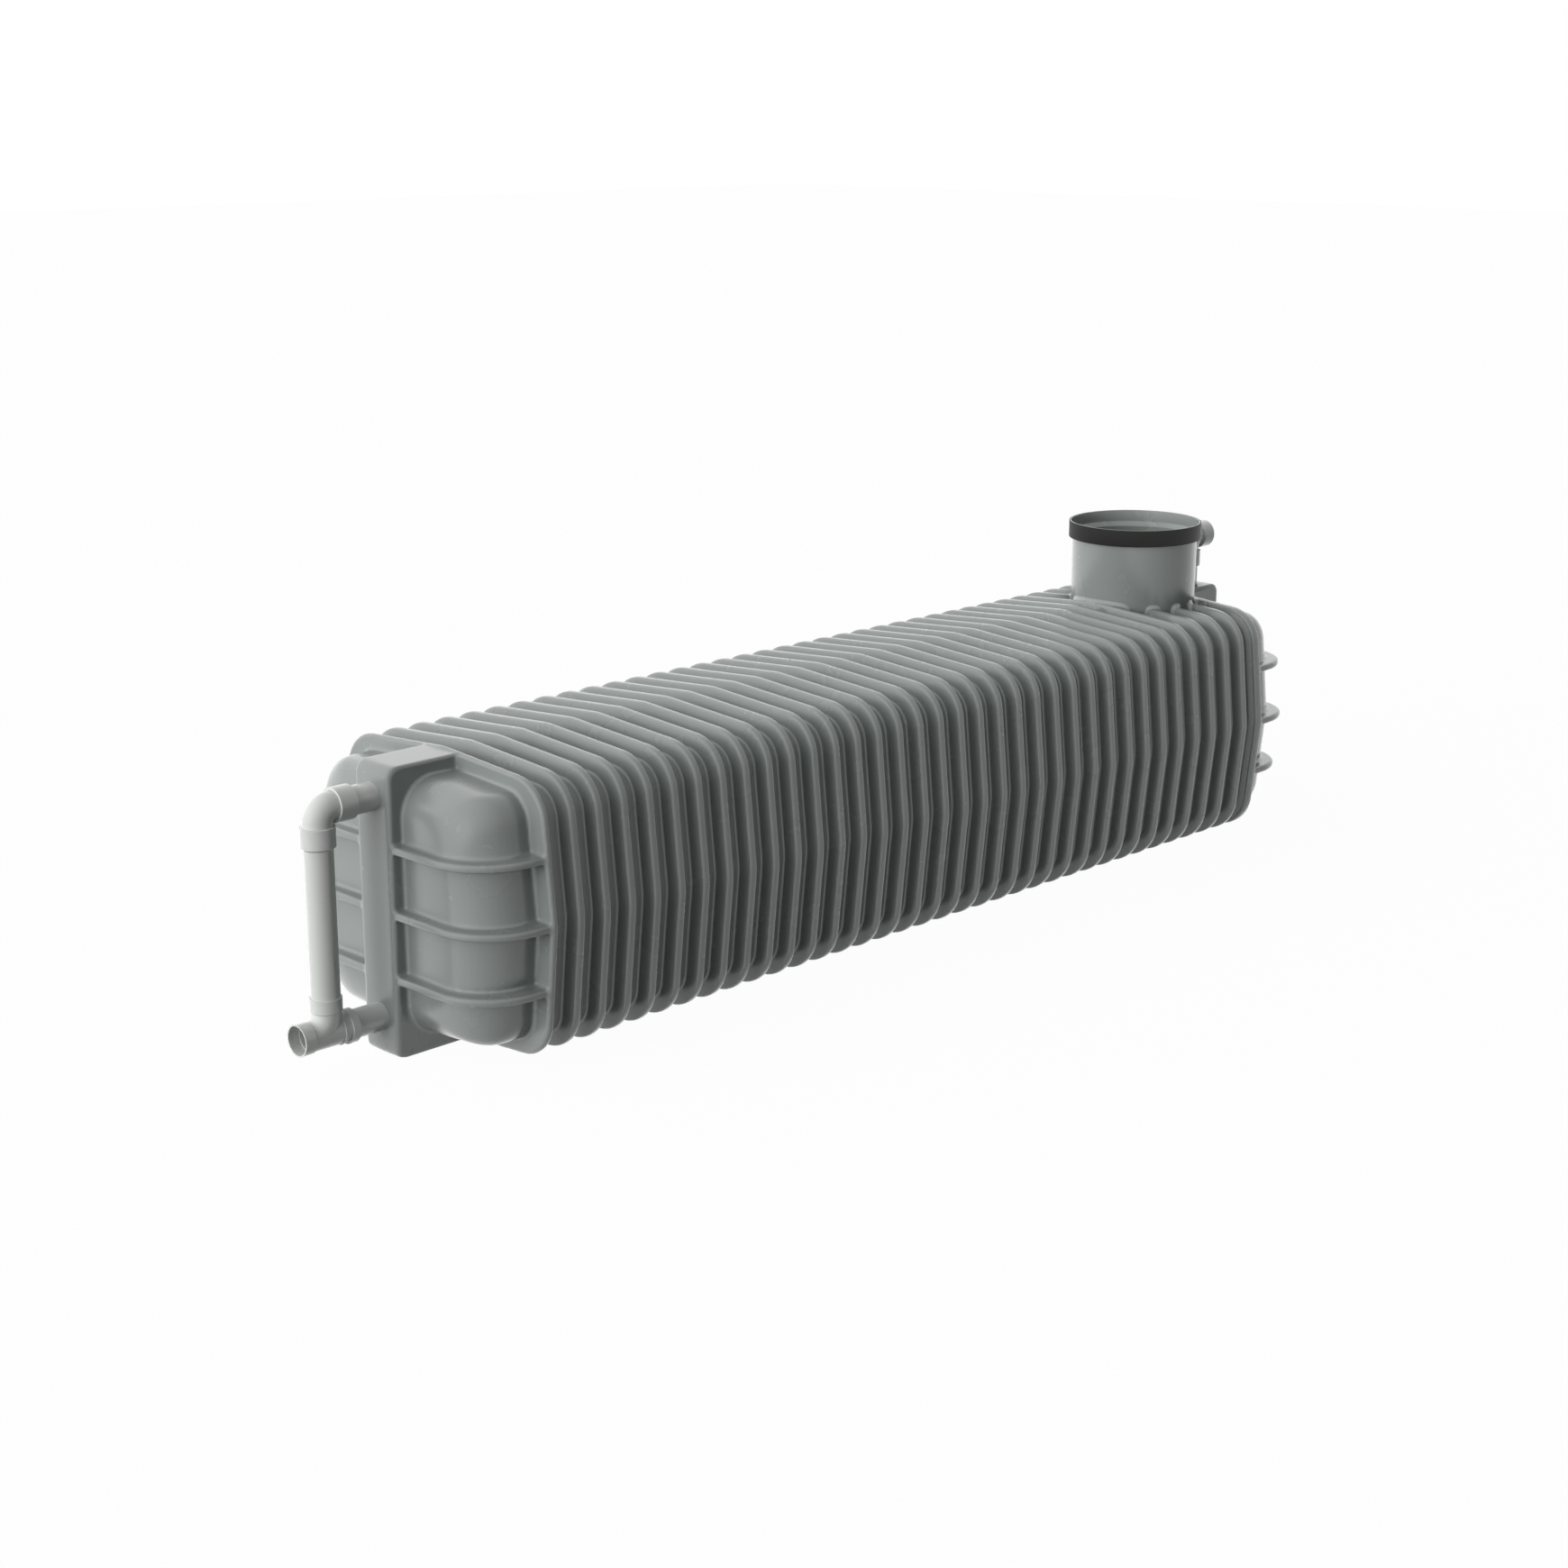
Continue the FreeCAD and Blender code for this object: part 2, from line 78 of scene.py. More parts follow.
# Shares and directions
SHELF_SOFTNESS = 0.6  # rounding of a shelf rib's edges, as a share of half its thickness
STRAIGHT_BACK = 0.9995  # cosine past which a face looks straight back to the hull
UPRIGHT = 0.99  # cosine past which an edge stands upright
COLOUR_MOTTLE = 0.025  # how far the colour's brightness strays
ROUGHNESS_MOTTLE = 0.02  # how far the roughness strays

# Segments and steps
FINE_STEPS = 2  # segments of a rounded edge that hardly shows
EDGE_STEPS = 3  # segments of a small or shallow rounded edge
FLANGE_STEPS = 4  # segments of a flange's edge
CORNER_STEPS = 10  # segments of the long corners of the hull and of the pillows
HEAD_CORNER_STEPS = 14  # segments of the long corners of a flange
PILLOW_STEPS = 12  # outlines along the pillow's front rounding
SHELF_STEPS = 20  # segments of a shelf rib's big corner
ROUND_STEPS = 192  # segments round the neck and its ring
BORE_STEPS = 96  # segments of the cutter for the neck's bore
SMOOTH_PASSES = 4  # times that a head's skin is smoothed
FILLET_TURNS = 720  # places round the neck where the fillet is worked out
BALL_STEPS = 6  # steps in the radius of the ball that rolls round the neck's foot
BALL_PLACES = 14  # distances from the neck at which the ball rests
BALL_TURNS = 8  # places round the neck that the ball's radius reaches on each side

# The photograph's view, fitted to the hull's straight lines
LENS = 59.19  # millimetres, on a sensor 36 mm wide
EYE = (-7.6840, -7.4390, 3.5004)
AIM = (0.6833, 0.6813, -0.2624)

FLOOR_REACH = 60.0  # metres from the middle to an edge of the floor
FLOOR_GLOW = 0.97  # share of plain white in what the camera sees of the floor, the rest shows the shadow
FLOOR_SHINE = 0.9  # the floor's brightness in reflections, as a share of the sky's


def length(label, default, text):
    """A size in metres for the panel."""
    return FloatProperty(name=label, description=text, default=default, min=0.0, unit="LENGTH", precision=4)


def level(label, default, text):
    """A brightness or a share for the panel."""
    return FloatProperty(name=label, description=text, default=default, min=0.0)


def direction(label, default, text):
    """A direction for the panel."""
    return FloatVectorProperty(name=label, description=text, default=default, subtype="XYZ")


def colour(label, default, text):
    """A base colour for the panel."""
    return FloatVectorProperty(
        name=label, description=text, default=default, subtype="COLOR", min=0.0, max=1.0,
    )


class HullForm(bpy.types.PropertyGroup):
    """Outline of the hull and of one rib."""

    height: length("Height", 1.129, "Ridge to keel")
    waist_width: length("Waist width", 1.265, "Width at mid height")
    eaves_width: length("Eaves width", 1.156, "Width at the corners of the outline")
    eaves_height: length("Eaves height", 1.048, "Upper to lower corners of the outline")
    corner_radius: length("Corner radius", 0.170, "Rounding of the four long corners")
    ridge_radius: length("Ridge radius", 0.300, "Softening of ridge, keel and waist")
    wall: length("Wall", 0.008, "Thickness of the moulded skin")
    rib_count: IntProperty(name="Ribs", description="Crests, with both flanges", default=36, min=2)
    rib_pitch: length("Rib pitch", 0.125, "From crest to crest")
    crest_width: length("Crest width", 0.031, "Flat top of a rib")
    valley_width: length("Valley width", 0.066, "Floor between two ribs")
    rib_depth: length("Rib depth", 0.058, "Crest to valley floor")
    far_flange: length("Far flange", 0.050, "Width of the last crest")
    crest_rounding: length("Crest rounding", 0.011, "Radius of a crest's edges")
    valley_rounding: length("Valley rounding", 0.010, "Radius where a flank meets the floor")


class HeadForm(bpy.types.PropertyGroup):
    """The two moulded ends."""

    near_depth: length("Near depth", 0.321, "Flange face to the front of the near spine")
    far_depth: length("Far depth", 0.347, "Flange face to the front of the far spine")
    spine_width: length("Spine width", 0.200, "Width of the upright column")
    spine_edge: length("Spine edge", 0.017, "Rounding of the spine's upright edges")
    spine_crown: length("Spine crown", 0.005, "How far the spine's front bulges in the middle")
    spine_top: length("Spine top", 0.047, "Rounding of the spine's top front edge")
    spine_foot: length("Spine foot", 0.034, "Rounding of the spine's bottom front edge")
    spine_drop: length("Spine drop", 0.010, "Spine's top below the ridge")
    shelf_pitch: length("Shelf pitch", 0.251, "Height between two shelf ribs")
    shelf_middle: length("Shelf middle", 0.559, "Height of the middle shelf rib")
    shelf_thickness: length("Shelf thickness", 0.032, "Thickness of a shelf rib")
    shelf_setback: length("Shelf setback", 0.011, "Shelf's front behind the spine's")
    shelf_corner: length("Shelf corner", 0.256, "Radius of the shelf's big corner")
    shelf_step: length("Shelf step", 0.0125, "Shelf's end inside the hull's side")
    pillow_setback: length("Pillow setback", 0.065, "Pillow's front behind the spine's")
    pillow_side: length("Pillow side", 0.082, "Pillow's side inside the hull's side")
    pillow_top: length("Pillow top", 0.060, "Pillow's top below the ridge")
    pillow_side_radius: length("Pillow side radius", 0.195, "Rounding in plan")
    pillow_top_radius: length("Pillow top radius", 0.146, "Rounding in side view")
    pillow_corner: length("Pillow corner", 0.120, "Rounding in front view, at the flange")
    pillow_nose: length("Pillow nose", 0.190, "Rounding in front view, at the pillow's front")
    voxel: length("Voxel", 0.0060, "Grid of the moulded skin")
    skin_faces: IntProperty(
        name="Skin faces", description="Triangles of one head's outer skin", default=88000, min=1000,
    )


class NeckForm(bpy.types.PropertyGroup):
    """Access neck and its ring."""

    from_far_face: length("From far face", 0.221, "Neck axis to the far flange face")
    diameter: length("Diameter", 0.590, "Outside of the neck")
    wall: length("Wall", 0.008, "Thickness of the neck")
    top: length("Top", 1.484, "Height of the neck's open end")
    collar_step: length("Collar step", 0.0135, "How far the neck widens under its ring")
    collar_wall: length("Collar wall", 0.005, "Thickness of the widened end")
    collar_height: length("Collar height", 0.074, "Where it starts to widen, below the open end")
    collar_slope: length("Collar slope", 0.020, "Height of the sloping part")
    ring_gap: length("Ring gap", 0.0003, "Clearance round the collar")
    ring_thickness: length("Ring thickness", 0.004, "Thickness of the black ring")
    ring_height: length("Ring height", 0.077, "Height of the black ring")
    root: length("Root", 1.0, "Height of the neck's lower end")
    fillet: length("Fillet", 0.020, "Rounding where the ribs run up into the neck")


class TankFinish(bpy.types.PropertyGroup):
    """Colours of the materials."""

    tank: colour("Tank", (0.240, 0.264, 0.261), "Moulded polyethylene")
    pipe: colour("Pipe", (0.65, 0.67, 0.66), "Pipe plastic")
    ring: colour("Ring", (0.014, 0.014, 0.014), "Black rubber")


class StudioLight(bpy.types.PropertyGroup):
    """Levels of the soft sky."""

    glow: level("Glow", 2.0, "Wide bright part of the sky, on the left")
    glow_from: direction("Glow from", (-0.75, 0.433, 0.5), "Where the wide bright part is")
    glow_focus: level("Glow focus", 3.0, "How narrow that part is")
    front: level("Front", 9.0, "Narrow bright part, low before the near head")
    front_from: direction("Front from", (-0.99, 0.0, 0.139), "Where the narrow bright part is")
    front_focus: level("Front focus", 30.0, "How narrow that part is")
    sky: level("Sky", 0.10, "Plain light from all sides")
    shine: level("Shine", 1.9, "White that reflections see")
    bounce: level("Bounce", 0.10, "Share of light that the floor throws back")


def rounded_path(points, radii, segments, closed):
    """The points of a flat path with an arc of so many segments at each corner that has a radius."""
    path = []
    count = len(points)
    for k, (here, radius, steps) in enumerate(zip(points, radii, segments)):
        if radius == 0.0 or (not closed and k in (0, count - 1)):
            path.append(here)
            continue
        into = (here - points[k - 1]).normalized()
        out = (points[(k + 1) % count] - here).normalized()
        turn = into.angle_signed(out)
        back = radius * math.tan(abs(turn) / 2)
        side = Vector((into.y, -into.x)) * math.copysign(1.0, turn)
        start = here - into * back
        centre = start + side * radius
        for step in range(steps + 1):
            path.append(centre + Matrix.Rotation(-turn * step / steps, 2) @ (start - centre))
    return path


def crossing(first, along_first, second, along_second):
    """Where two flat lines meet."""
    share = (second - first).cross(along_second) / along_first.cross(along_second)
    return first + along_first * share


def outline(form, top, side, radius, corner_steps=CORNER_STEPS):
    """The hull's outline moved in by top and side, as (y, z) points about mid height."""
    ridge = Vector((0.0, form.height / 2))
    eaves = Vector((form.eaves_width / 2, form.eaves_height / 2))
    waist = Vector((form.waist_width / 2, 0.0))
    roof, flank = (eaves - ridge).normalized(), (waist - eaves).normalized()
    roof_point = ridge + Vector((roof.y, -roof.x)) * top
    flank_point = eaves + Vector((flank.y, -flank.x)) * side
    ridge = crossing(roof_point, roof, Vector((0, 0)), Vector((0, 1)))
    eaves = crossing(roof_point, roof, flank_point, flank)
    waist = crossing(flank_point, flank, Vector((0, 0)), Vector((1, 0)))
    flip = Vector((eaves.x, -eaves.y))
    right = [ridge, eaves, waist, flip, -ridge]
    left = [Vector((-p.x, p.y)) for p in (flip, waist, eaves)]
    soft = max(form.ridge_radius - max(top, side), LEAST_RADIUS)
    return rounded_path(right + left, [soft, radius, soft, radius] * 2, [EDGE_STEPS, corner_steps] * 4, True)


def raised(form, x, flat):
    """An outline about mid height as a ring of points at x, with its heights from the ground."""
    middle = form.height / 2
    return [Vector((x, p.x, p.y + middle)) for p in flat]


def rings_at(form, stations, extra=0.0, corner_steps=CORNER_STEPS):
    """The hull's outline at each (x, inset), moved in by the inset and by what is extra."""
    rings = []
    for x, inset in stations:
        radius = max(form.corner_radius - inset - extra, LEAST_RADIUS)
        rings.append(raised(form, x, outline(form, inset + extra, inset + extra, radius, corner_steps)))
    return rings


def lofted(bm, rings):
    """A face band between each two of the rings, from a circle that is pushed along. Gives both end rings."""
    count = len(rings[0])
    place = bm.verts.layers.int.get("place") or bm.verts.layers.int.new("place")
    loop = bmesh.ops.create_circle(bm, segments=count, radius=1.0)["verts"]
    edges = list({e for v in loop for e in v.link_edges})
    order, seen = [loop[0]], {loop[0]}
    while len(order) < count:
        here = order[-1]
        step = [e.other_vert(here) for e in here.link_edges if e.other_vert(here) not in seen]
        order.append(step[0])
        seen.add(step[0])
    for k, vert in enumerate(order):
        vert[place] = k
        vert.co = rings[0][k]
    last = order
    for ring in rings[1:]:
        made = bmesh.ops.extrude_edge_only(bm, edges=edges)["geom"]
        edges = [g for g in made if isinstance(g, bmesh.types.BMEdge)]
        fresh = [g for g in made if isinstance(g, bmesh.types.BMVert)]
        for vert in fresh:
            vert.co = ring[vert[place]]
        last = sorted(fresh, key=lambda v: v[place])
    return [order, last]


def capped(bm, ends):
    """Closes a loft at both ends."""
    for ring in ends:
        bm.faces.new(ring)


def bridge_ends(bm, ends):
    """Joins the last ring of a loft to its first, so that the skin closes on itself."""
    members = [set(ring) for ring in ends]
    edges = [
        e for e in bm.edges
        if len(e.link_faces) == 1 and any(e.verts[0] in ring and e.verts[1] in ring for ring in members)
    ]
    bmesh.ops.bridge_loops(bm, edges=edges)
    bmesh.ops.recalc_face_normals(bm, faces=bm.faces)


def lathed(path, place):
    """A closed (radius, height) path spun round the Z axis, then put in place."""
    bm = bmesh.new()
    verts = [bm.verts.new((p.x, 0.0, p.y)) for p in path]
    edges = [bm.edges.new((a, b)) for a, b in zip(verts, verts[1:] + verts[:1])]
    bmesh.ops.spin(
        bm, geom=verts + edges, cent=(0, 0, 0), axis=(0, 0, 1), dvec=(0, 0, 0), angle=2 * math.pi,
        steps=ROUND_STEPS, use_merge=True,
    )
    bmesh.ops.recalc_face_normals(bm, faces=bm.faces)
    bmesh.ops.transform(bm, matrix=place, verts=bm.verts)
    return bm


def finished(name, bm, material, node):
    """A named piece from a bmesh, hung under the root body, with the node that it stands for hidden."""
    mesh = bpy.data.meshes.new(name)
    bm.to_mesh(mesh)
    bm.free()
    piece = bpy.data.objects.new(name, mesh)
    bpy.context.scene.collection.objects.link(piece)
    mesh.materials.append(bpy.data.materials[material])
    for face in mesh.polygons:
        face.use_smooth = True
    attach(piece, "root")
    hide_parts(node)
    return piece


def settle(context, piece):
    """Applies a piece's modifiers to its mesh."""
    depsgraph = context.evaluated_depsgraph_get()
    depsgraph.update()
    mesh = bpy.data.meshes.new_from_object(piece.evaluated_get(depsgraph))
    old = piece.data
    piece.modifiers.clear()
    piece.data = mesh
    name = old.name
    bpy.data.meshes.remove(old)
    mesh.name = name


class TANK_OT_materials(bpy.types.Operator):
    """Make the plastics and the rubber"""

    bl_idname = "tank.materials"
    bl_label = "Materials"

    def execute(self, context):
        finish = context.scene.tank_finish
        moulded_plastic("tank plastic", finish.tank, roughness=0.27, grain=300.0, lift=0.00001, gloss=0.5)
        moulded_plastic("pipe plastic", finish.pipe, roughness=0.24, grain=600.0, lift=0.000005, gloss=0.5)
        moulded_plastic("ring rubber", finish.ring, roughness=0.62, grain=1500.0, lift=0.00010, gloss=0.2)
        return {"FINISHED"}


def moulded_plastic(name, base, roughness, grain, lift, gloss):
    """A plastic or rubber with the shared surface."""
    material = bpy.data.materials.new(name)
    material.use_nodes = True
    nodes, links = material.node_tree.nodes, material.node_tree.links
    shader = nodes["Principled BSDF"]
    skin = nodes.new("ShaderNodeGroup")
    skin.node_tree = surface_group()
    skin.inputs["Colour"].default_value = (*base, 1.0)
    skin.inputs["Roughness"].default_value = roughness
    skin.inputs["Grain"].default_value = grain
    links.new(skin.outputs["Colour"], shader.inputs["Base Color"])
    links.new(skin.outputs["Roughness"], shader.inputs["Roughness"])
    shader.inputs["Specular IOR Level"].default_value = gloss
    bump = nodes.new("ShaderNodeBump")
    bump.inputs["Distance"].default_value = lift
    links.new(skin.outputs["Height"], bump.inputs["Height"])
    links.new(bump.outputs["Normal"], shader.inputs["Normal"])


def surface_group():
    """Node group: a faintly mottled colour and roughness and a fine grain, from Object coordinates."""
    known = bpy.data.node_groups.get("moulded surface")
    if known:
        return known
    group = bpy.data.node_groups.new("moulded surface", "ShaderNodeTree")
    for name, way, kind in (
        ("Colour", "INPUT", "NodeSocketColor"), ("Roughness", "INPUT", "NodeSocketFloat"),
        ("Grain", "INPUT", "NodeSocketFloat"), ("Colour", "OUTPUT", "NodeSocketColor"),
        ("Roughness", "OUTPUT", "NodeSocketFloat"), ("Height", "OUTPUT", "NodeSocketFloat"),
    ):
        group.interface.new_socket(name, in_out=way, socket_type=kind)
    nodes, links = group.nodes, group.links
    given = nodes.new("NodeGroupInput")
    out = nodes.new("NodeGroupOutput")
    clouds = noise(nodes, links, detail=6.0)
    clouds.inputs["Scale"].default_value = 5.0
    grain = noise(nodes, links, detail=2.0)
    links.new(given.outputs["Grain"], grain.inputs["Scale"])
    tint = nodes.new("ShaderNodeMix")
    tint.data_type = "RGBA"
    tint.blend_type = "MULTIPLY"
    tint.inputs["Factor"].default_value = 1.0
    links.new(given.outputs["Colour"], tint.inputs["A"])
    links.new(spread(nodes, links, clouds, 1.0 - COLOUR_MOTTLE, 1.0 + COLOUR_MOTTLE), tint.inputs["B"])
    links.new(tint.outputs["Result"], out.inputs["Colour"])
    uneven = spread(nodes, links, clouds, -ROUGHNESS_MOTTLE, ROUGHNESS_MOTTLE)
    links.new(summed(nodes, links, given.outputs["Roughness"], uneven), out.inputs["Roughness"])
    links.new(grain.outputs["Fac"], out.inputs["Height"])
    return group


def noise(nodes, links, detail):
    """A noise on Object coordinates."""
    made = nodes.new("ShaderNodeTexNoise")
    made.inputs["Detail"].default_value = detail
    links.new(nodes.new("ShaderNodeTexCoord").outputs["Object"], made.inputs["Vector"])
    return made


def spread(nodes, links, source, low, high):
    """A noise's value, spread between two levels."""
    ranged = nodes.new("ShaderNodeMapRange")
    ranged.inputs["To Min"].default_value = low
    ranged.inputs["To Max"].default_value = high
    links.new(source.outputs["Fac"], ranged.inputs["Value"])
    return ranged.outputs["Result"]


def summed(nodes, links, first, second):
    """The sum of two values."""
    total = nodes.new("ShaderNodeMath")
    links.new(first, total.inputs[0])
    links.new(second, total.inputs[1])
    return total.outputs["Value"]


def near_face_x(context):
    """Where the near flange's face stands along the hull."""
    return BODY_FRONT + context.scene.tank_head.near_depth


def far_flange_start(form, near_x):
    """Where the last, wider crest begins."""
    return near_x + (form.rib_count - 1) * form.rib_pitch + form.crest_width - form.far_flange


def far_face_x(context):
    """Where the far flange's face stands along the hull."""
    form = context.scene.tank_hull
    return far_flange_start(form, near_face_x(context)) + form.far_flange


def neck_axis_x(context):
    """Where the neck stands along the hull."""
    return far_face_x(context) - context.scene.tank_neck.from_far_face


def rib_flank(form):
    """Length along the hull of one sloping side of a rib."""
    return (form.rib_pitch - form.crest_width - form.valley_width) / 2


class TANK_OT_hull(bpy.types.Operator):
    """Build the ribbed hull between its two flanges"""

    bl_idname = "tank.hull"
    bl_label = "Ribbed hull"

    def execute(self, context):
        form = context.scene.tank_hull
        near_x = near_face_x(context)
        bm = bmesh.new()
        rings = rings_at(form, rib_stations(form, near_x))
        rings += reversed(rings_at(form, lining_stations(form, near_x), form.wall))
        bridge_ends(bm, lofted(bm, rings))
        piece = finished("ribbed_hull", bm, "tank plastic", "tank_body")
        open_under_neck(context, piece)
        return {"FINISHED"}


def rib_stations(form, near_x):
    """(x, inset) along the hull between the two flanges, with rounded crests and valleys."""
    flank, deep = rib_flank(form), form.rib_depth
    crest, valley = form.crest_rounding, form.valley_rounding
    near_back = near_x + form.crest_width
    corners = [
        (near_back - SKIN_LAP, form.wall, 0.0), (near_back - LAP_SLOPE, form.wall, 0.0),
        (near_back + flank, deep, valley),
    ]
    for k in range(1, form.rib_count - 1):
        start = near_x + k * form.rib_pitch
        end = start + form.crest_width
        corners += [
            (start - flank, deep, valley), (start, 0.0, crest),
            (end, 0.0, crest), (end + flank, deep, valley),
        ]
    far_back = far_flange_start(form, near_x)
    corners += [
        (far_back - flank, deep, valley),
        (far_back + LAP_SLOPE, form.wall, 0.0), (far_back + SKIN_LAP, form.wall, 0.0),
    ]
    points = [Vector((x, inset)) for x, inset, radius in corners]
    radii = [radius for x, inset, radius in corners]
    return rounded_path(points, radii, [EDGE_STEPS] * len(corners), False)


def lining_stations(form, near_x):
    """(x, inset) of the hull's inside, which follows each rib with a narrow groove."""
    flank, deep, wall = rib_flank(form), form.rib_depth, form.wall
    near_back = near_x + form.crest_width
    stations = [(near_back - SKIN_LAP, deep / 2), (near_back + flank, deep)]
    for k in range(1, form.rib_count - 1):
        start = near_x + k * form.rib_pitch
        end = start + form.crest_width
        stations += [
            (start - flank + wall, deep), (start + wall, 0.0),
            (end - wall, 0.0), (end + flank - wall, deep),
        ]
    far_back = far_flange_start(form, near_x)
    stations += [(far_back - flank, deep), (far_back + SKIN_LAP, deep / 2)]
    return stations


def bore_radius(context):
    """Radius of the hole in the roof, in the middle of the neck's wall."""
    return context.scene.tank_neck.diameter / 2 - context.scene.tank_neck.wall / 2


def open_under_neck(context, piece):
    """Cuts the neck's bore through a piece's roof."""
    bm = bmesh.new()
    radius = bore_radius(context)
    middle = context.scene.tank_neck.root + BORE_DEPTH / 4
    bmesh.ops.create_cone(
        bm, cap_ends=True, segments=BORE_STEPS, radius1=radius, radius2=radius, depth=BORE_DEPTH,
        matrix=Matrix.Translation((neck_axis_x(context), 0.0, middle)),
    )
    mesh = bpy.data.meshes.new("neck cutter")
    bm.to_mesh(mesh)
    bm.free()
    cutter = bpy.data.objects.new("neck cutter", mesh)
    context.scene.collection.objects.link(cutter)
    cut = piece.modifiers.new("neck bore", "BOOLEAN")
    cut.object = cutter
    cut.solver = "EXACT"
    settle(context, piece)
    bpy.data.objects.remove(cutter)


class TANK_OT_heads(bpy.types.Operator):
    """Build both moulded heads with their flanges"""

    bl_idname = "tank.heads"
    bl_label = "Moulded heads"

    def execute(self, context):
        form, head = context.scene.tank_hull, context.scene.tank_head
        near = head_shells(context, head.near_depth, form.crest_width)
        skinned(context, "near_head", near, Matrix.Translation((near_face_x(context), 0, 0)), False)
        far = head_shells(context, head.far_depth, form.far_flange)
        turned = Matrix.Translation((far_face_x(context), 0, 0)) @ Matrix.Diagonal((-1, 1, 1, 1))
        skinned(context, "far_head", far, turned, True)
        return {"FINISHED"}


def head_shells(context, depth, flange_width):
    """The closed shells of one head, pointing along -X from the flange face at x = 0."""
    form, head = context.scene.tank_hull, context.scene.tank_head
    root = form.crest_width / 2
    bm = bmesh.new()
    flange = rounded_path(
        [
            Vector((flange_width, FLANGE_LIP)), Vector((flange_width, 0.0)),
            Vector((0.0, 0.0)), Vector((0.0, FLANGE_LIP)),
        ],
        [0.0, form.crest_rounding, form.crest_rounding, 0.0], [FLANGE_STEPS] * 4, False,
    )
    capped(bm, lofted(bm, rings_at(form, flange, corner_steps=HEAD_CORNER_STEPS)))
    pillow = [
        raised(form, x, outline(form, top, side, radius))
        for x, top, side, radius in pillow_stations(head, depth - head.pillow_setback, root)
    ]
    capped(bm, lofted(bm, pillow))
    capped(bm, lofted(bm, spine_rings(form, head, depth, root)))
    for k in (-1, 0, 1):
        add_shelf(bm, form, head, depth, head.shelf_middle + k * head.shelf_pitch)
    return bm


def pillow_stations(head, front, root):
    """(x, top inset, side inset, corner radius) of the pillow's outlines, from the flange to its front."""
    stations = [(root, head.pillow_top, head.pillow_side, head.pillow_corner)]
    deep = max(head.pillow_side_radius, head.pillow_top_radius)
    softer = (head.pillow_nose - head.pillow_corner) / head.pillow_top_radius
    for k in range(PILLOW_STEPS + 1):
        depth = front - deep * (1 - math.sin(math.pi / 2 * k / PILLOW_STEPS))
        top = arc_inset(head.pillow_top_radius, front - depth)
        side = arc_inset(head.pillow_side_radius, front - depth)
        corner = head.pillow_corner + softer * top
        stations.append((-depth, head.pillow_top + top, head.pillow_side + side, corner))
    return stations


def arc_inset(radius, from_front):
    """How far a quarter arc has come in at a depth behind the front."""
    if from_front >= radius:
        return 0.0
    return radius - math.sqrt(max(radius ** 2 - (radius - from_front) ** 2, 0.0))


def spine_rings(form, head, depth, root):
    """Plan outlines of the upright column, one above the other, whose fronts follow its side view."""
    half = head.spine_width / 2
    top = form.height - head.spine_drop
    foot_steps, top_steps, side_steps, crown_steps = 7, 9, 5, 4
    side = rounded_path(
        [Vector((0.0, 0.0)), Vector((-depth, 0.0)), Vector((-depth, top)), Vector((0.0, top))],
        [0.0, head.spine_foot, head.spine_top, 0.0], [0, foot_steps, top_steps, 0], False,
    )
    radii = [0.0, head.spine_edge, CROWN_RADIUS, head.spine_edge, 0.0]
    steps = [0, side_steps, crown_steps, side_steps, 0]
    rings = []
    for front, height in side[1:-1]:
        edge = front + head.spine_crown
        plan = [
            Vector((root, -half)), Vector((edge, -half)), Vector((front, 0.0)), Vector((edge, half)),
            Vector((root, half)),
        ]
        rings.append([Vector((p.x, p.y, height)) for p in rounded_path(plan, radii, steps, True)])
    return rings


def add_shelf(bm, form, head, depth, height):
    """One shelf rib, whose ends stand a step inside the hull's side at its height."""
    share = abs(height - form.height / 2) / (form.eaves_height / 2)
    reach = (form.waist_width + (form.eaves_width - form.waist_width) * share) / 2 - head.shelf_step
    nose, root = -(depth - head.shelf_setback), form.crest_width / 2
    half = head.shelf_thickness / 2
    rounded_block(bm, (nose, -reach, height - half), (root, reach, height + half), [
        (lambda e: upright(e) and e.verts[0].co.x < nose / 2, head.shelf_corner, SHELF_STEPS),
        (lambda e: not upright(e) and min(v.co.x for v in e.verts) < root - HAIR,
         half * SHELF_SOFTNESS, EDGE_STEPS),
    ])


def rounded_block(bm, low, high, roundings):
    """A block with rounded edges. A rounding is (test of an edge, radius, segments)."""
    low, high = Vector(low), Vector(high)
    grow = Matrix.Translation((low + high) / 2) @ Matrix.Diagonal((*(high - low), 1.0))
    verts = bmesh.ops.create_cube(bm, size=1.0, matrix=grow)["verts"]
    edges = {e for v in verts for e in v.link_edges}
    for test, radius, steps in roundings:
        live = [e for e in edges if e.is_valid and test(e)]
        made = bmesh.ops.bevel(
            bm, geom=live, offset=radius, segments=steps, profile=0.5, affect="EDGES", material=-1,
            clamp_overlap=False,
        )
        edges = {e for e in edges if e.is_valid} | set(made["edges"])


def upright(edge):
    """Whether an edge stands upright."""
    return abs((edge.verts[0].co - edge.verts[1].co).normalized().z) > UPRIGHT


